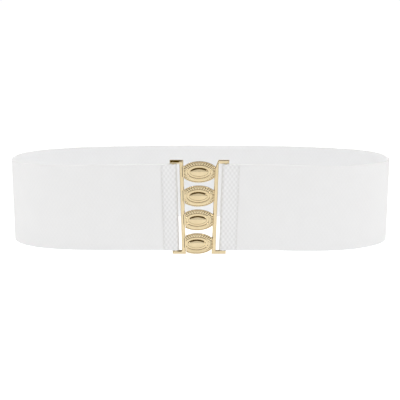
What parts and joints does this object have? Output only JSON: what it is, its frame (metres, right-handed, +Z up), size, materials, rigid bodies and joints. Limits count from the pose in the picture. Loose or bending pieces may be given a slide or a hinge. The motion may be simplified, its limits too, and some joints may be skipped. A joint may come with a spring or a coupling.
{
  "type": "elastic stretch belt",
  "caption": "Wide white elastic stretch belt, closed in an oval loop and standing on its lower edge, with an interlocking gold clasp of fluted oval medallions.",
  "frame": {"origin": "middle of the footprint, on the surface that the belt stands on", "axes": "+Z up along the belt's width, +X along the loop's length towards the wearer's left, the clasp faces -Y"},
  "size_m": [0.3494, 0.1522, 0.082],
  "materials": {
    "white_elastic": "woven, matt",
    "pale_gold": "polished pale gold plating"
  },
  "bodies": {
    "root": {"elastic_band": "white_elastic", "left_clasp_half": "pale_gold", "right_clasp_half": "pale_gold"}
  },
  "joints": []
}
